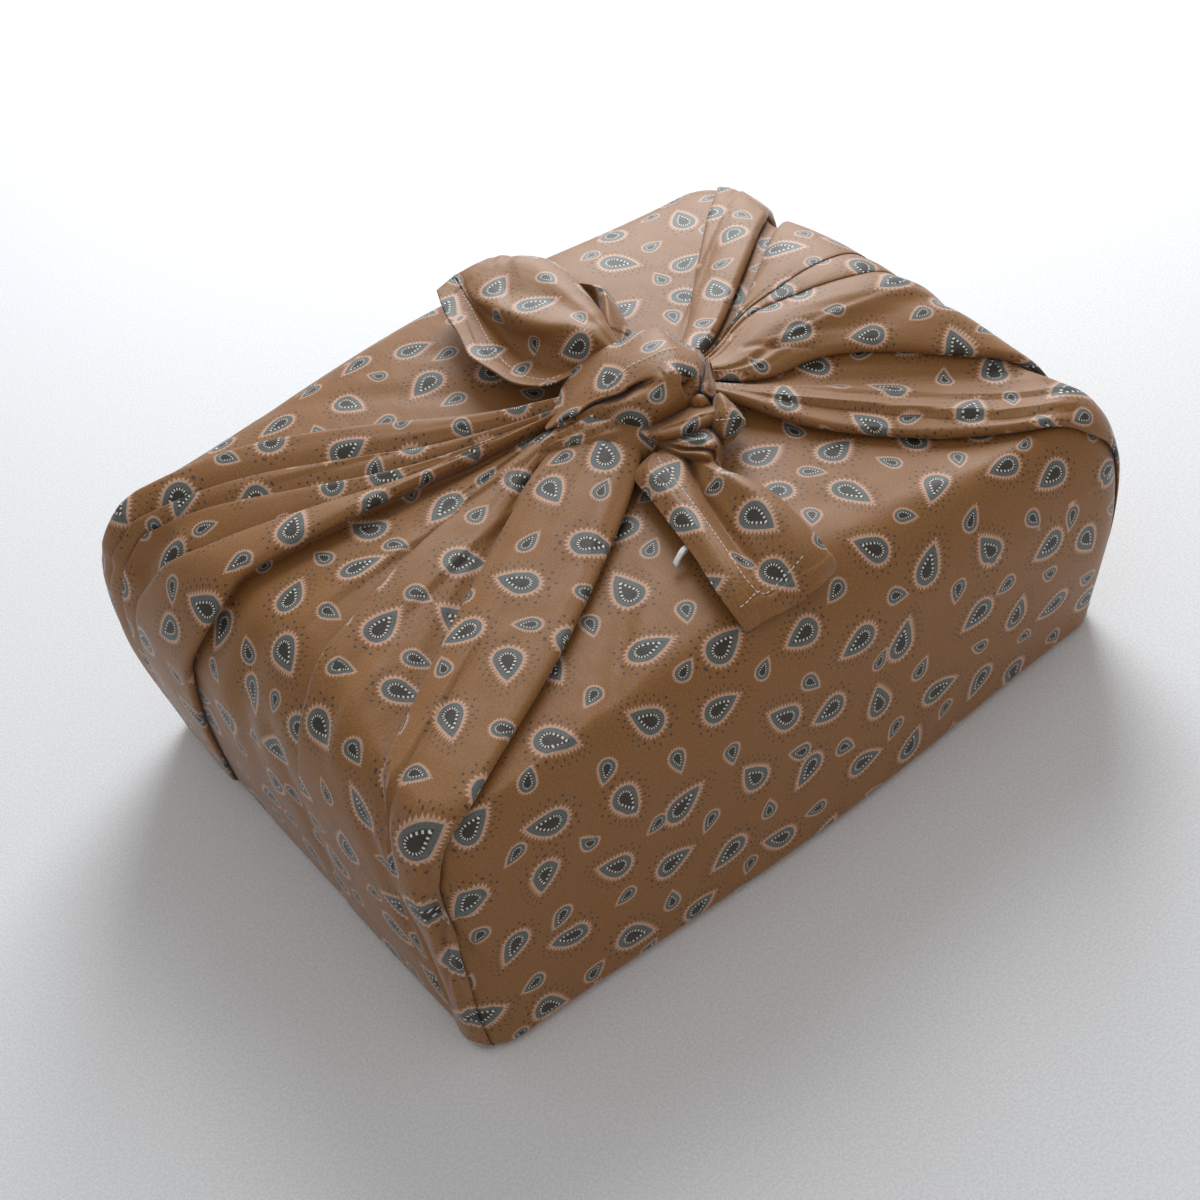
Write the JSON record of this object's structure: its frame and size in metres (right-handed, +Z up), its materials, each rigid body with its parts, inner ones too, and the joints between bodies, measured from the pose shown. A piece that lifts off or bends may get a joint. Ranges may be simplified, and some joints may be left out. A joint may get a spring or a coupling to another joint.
{
  "type": "furoshiki wrap",
  "caption": "Box-shaped parcel wrapped in a square of printed cotton, pleated up over both short sides and tied on top in a square knot with two free ends.",
  "frame": {"origin": "near the middle of the flat underside, on the surface that the parcel rests on", "axes": "+X along the parcel's long side, +Z up, the front long side towards -Y"},
  "size_m": [0.3606, 0.2759, 0.1665],
  "materials": {
    "cloth": "plain-woven cotton with a small paisley print",
    "tape": "white woven tape, blank"
  },
  "bodies": {
    "root": {"wrap": "cloth", "tab": "tape"}
  },
  "joints": []
}
